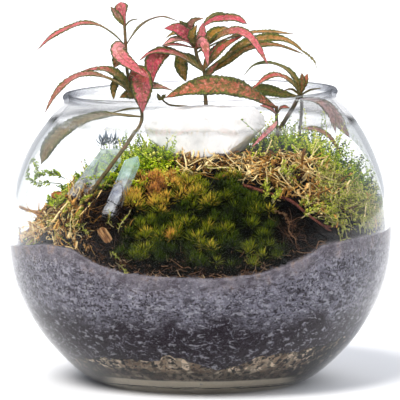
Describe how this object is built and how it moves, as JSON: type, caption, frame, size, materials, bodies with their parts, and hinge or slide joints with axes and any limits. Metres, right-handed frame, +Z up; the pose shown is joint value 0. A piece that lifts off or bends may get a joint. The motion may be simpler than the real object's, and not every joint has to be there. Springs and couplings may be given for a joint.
{
  "type": "glass plant terrarium",
  "caption": "Rounded open glass bowl with layered gravel and soil, moss, crystals, a white quartz chunk and leafy pink foliage plants.",
  "frame": {"origin": "centre of the bowl's flat base, on the surface that it stands on", "axes": "+Z up, the front of the planting faces -Y, +X to the right seen from the front"},
  "size_m": [0.2, 0.2, 0.1977],
  "materials": {
    "clear_glass": "clear, polished",
    "gravel": "matt, taupe with dark and pale chips",
    "potting_soil": "matt, crumbly, speckled",
    "cushion_moss": "matt, dark green and gold tufts",
    "dried_moss": "matt, dry tan strands",
    "feather_moss": "matt, yellow-green strands",
    "red_twig": "matt",
    "tan_twig": "matt",
    "light_bark": "matt",
    "orange_bark": "matt",
    "white_quartz": "milky, satin",
    "clear_crystal": "clear, faintly clouded",
    "pink_leaves": "satin leaves, pink with dark green toothed edges",
    "orange_leaves": "satin leaves, orange-red with green patches",
    "red_leaves": "satin leaves, red and olive"
  },
  "bodies": {
    "root": {"glass_bowl": "clear_glass", "gravel_layer": "gravel", "potting_soil": "potting_soil", "cushion_moss": "cushion_moss", "dried_moss_left": "dried_moss", "dried_moss_right": "dried_moss", "feather_moss_right": "feather_moss", "feather_moss_left": "feather_moss", "feather_moss_centre": "feather_moss", "feather_moss_back": "feather_moss", "red_twig": "red_twig", "left_twig": "tan_twig", "light_bark_chip": "light_bark", "orange_bark_chip": "orange_bark", "white_quartz": "white_quartz", "slim_crystal": "clear_crystal", "wide_crystal": "clear_crystal", "left_plant": "pink_leaves", "centre_plant": "pink_leaves", "middle_right_plant": "orange_leaves", "right_plant": "red_leaves"}
  },
  "joints": []
}
